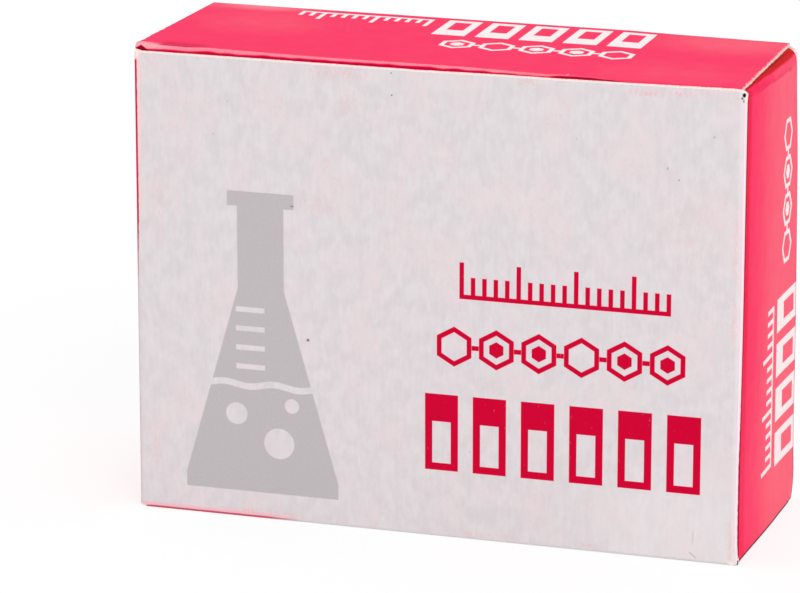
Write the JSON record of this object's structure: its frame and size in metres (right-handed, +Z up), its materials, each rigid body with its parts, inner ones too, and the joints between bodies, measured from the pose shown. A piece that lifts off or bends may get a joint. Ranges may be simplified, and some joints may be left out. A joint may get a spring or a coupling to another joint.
{
  "type": "carton of microscope slides",
  "caption": "Reverse tuck carton of folded board with a hinged lid at each end, holding a flat stack of glass microscope slides with one frosted end.",
  "frame": {"origin": "centre of the closed carton's footprint, on the surface it stands on", "axes": "+X along the slides and the front panel's length, +Y from the front panel to the back panel, +Z up through the stack to the top lid"},
  "size_m": [0.082, 0.0306, 0.0626],
  "materials": {
    "carton_board": "printed solid board, pale grey front and back, red sides, buff inside, matt coating",
    "lid_board": "printed solid board, red outside, buff inside, matt coating",
    "slide_glass": "clear polished soda-lime glass with ground edges and one frosted end"
  },
  "bodies": {
    "carton": {"carton": "carton_board", "slide_01": "slide_glass", "slide_02": "slide_glass", "slide_03": "slide_glass", "slide_04": "slide_glass", "slide_05": "slide_glass", "slide_06": "slide_glass", "slide_07": "slide_glass", "slide_08": "slide_glass", "slide_09": "slide_glass", "slide_10": "slide_glass", "slide_11": "slide_glass", "slide_12": "slide_glass", "slide_13": "slide_glass", "slide_14": "slide_glass", "slide_15": "slide_glass", "slide_16": "slide_glass", "slide_17": "slide_glass", "slide_18": "slide_glass", "slide_19": "slide_glass", "slide_20": "slide_glass", "slide_21": "slide_glass", "slide_22": "slide_glass", "slide_23": "slide_glass", "slide_24": "slide_glass", "slide_25": "slide_glass", "slide_26": "slide_glass", "slide_27": "slide_glass", "slide_28": "slide_glass", "slide_29": "slide_glass", "slide_30": "slide_glass", "slide_31": "slide_glass", "slide_32": "slide_glass", "slide_33": "slide_glass", "slide_34": "slide_glass", "slide_35": "slide_glass", "slide_36": "slide_glass", "slide_37": "slide_glass", "slide_38": "slide_glass", "slide_39": "slide_glass", "slide_40": "slide_glass", "slide_41": "slide_glass", "slide_42": "slide_glass", "slide_43": "slide_glass", "slide_44": "slide_glass", "slide_45": "slide_glass", "slide_46": "slide_glass", "slide_47": "slide_glass", "slide_48": "slide_glass", "slide_49": "slide_glass", "slide_50": "slide_glass"},
    "top_lid": {"top_lid": "lid_board"},
    "bottom_lid": {"bottom_lid": "lid_board"}
  },
  "joints": [
    {"name": "top_lid_hinge", "type": "hinge", "parent": "carton", "child": "top_lid", "pos_m": [0, 0.01506, 0.06234], "axis": [-1, 0, 0], "range_deg": [0, 180]},
    {"name": "bottom_lid_hinge", "type": "hinge", "parent": "carton", "child": "bottom_lid", "pos_m": [0, -0.01506, 0.00022], "axis": [-1, 0, 0], "range_deg": [0, 180]}
  ]
}
